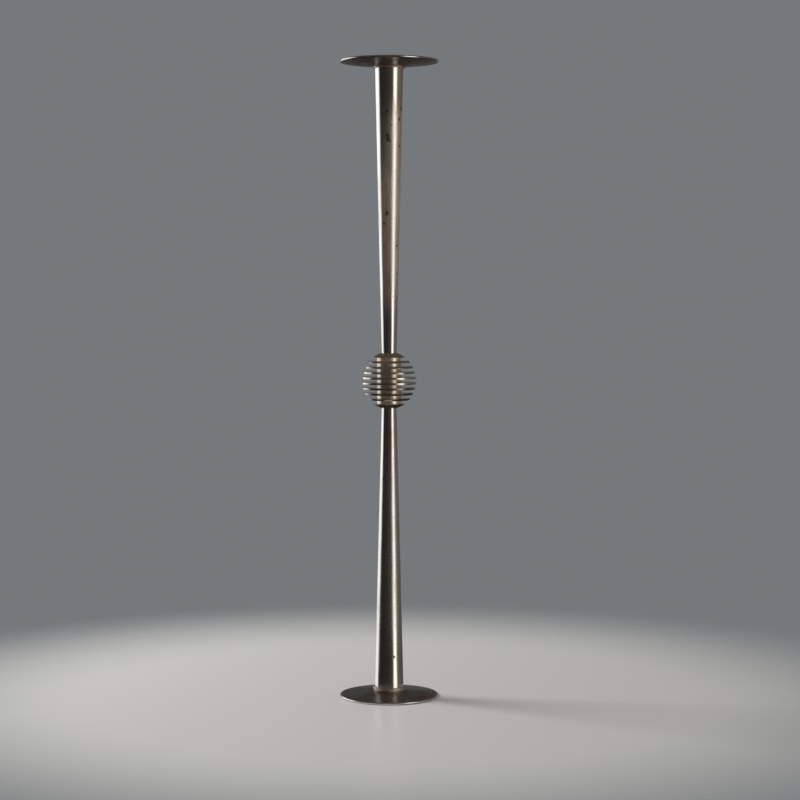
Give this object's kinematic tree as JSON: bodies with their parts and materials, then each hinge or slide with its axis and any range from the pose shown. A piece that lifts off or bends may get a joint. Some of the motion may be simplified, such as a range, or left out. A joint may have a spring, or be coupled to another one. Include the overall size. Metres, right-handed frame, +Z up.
{
  "type": "candlestick",
  "caption": "Tall slender candlestick of plated brass: two tapered stems meet at a ball of graded discs, between a conical foot and a matching drip dish with a candle socket.",
  "frame": {"origin": "centre of the foot's resting plane", "axes": "+Z up along the candlestick's turning axis, towards the candle; X and Y are free, because every visible piece is turned"},
  "size_m": [0.086, 0.086, 0.553],
  "materials": {
    "dish_plate": "polished silver plate with a brown tarnish bloom and fine polishing scratches",
    "stem_plate": "polished silver plate, tarnished in soft bands, with small dark spots",
    "collar_plate": "worn silver plate, copper showing through at the edges",
    "disc_plate": "silver plate with warm tarnish, brighter at the rims",
    "core_plate": "silver plate with heavy bronze-coloured tarnish between the discs",
    "cup_plate": "silver plate, dulled by heat and wax",
    "fastening_steel": "zinc-plated steel, dulled"
  },
  "bodies": {
    "root": {"foot_dish": "dish_plate", "drip_dish": "dish_plate", "candle_cup": "cup_plate", "foot_collar": "collar_plate", "drip_collar": "collar_plate", "lower_stem": "stem_plate", "upper_stem": "stem_plate", "lower_ball_cap": "disc_plate", "upper_ball_cap": "disc_plate", "foot_washer": "fastening_steel", "foot_nut": "fastening_steel", "tie_rod": "fastening_steel", "disc_1": "disc_plate", "disc_2": "disc_plate", "disc_3": "disc_plate", "disc_4": "disc_plate", "disc_5": "disc_plate", "disc_6": "disc_plate", "disc_7": "disc_plate", "disc_8": "disc_plate", "spacer_1": "core_plate", "spacer_2": "core_plate", "spacer_3": "core_plate", "spacer_4": "core_plate", "spacer_5": "core_plate", "spacer_6": "core_plate", "spacer_7": "core_plate", "spacer_8": "core_plate", "spacer_9": "core_plate"}
  },
  "joints": []
}
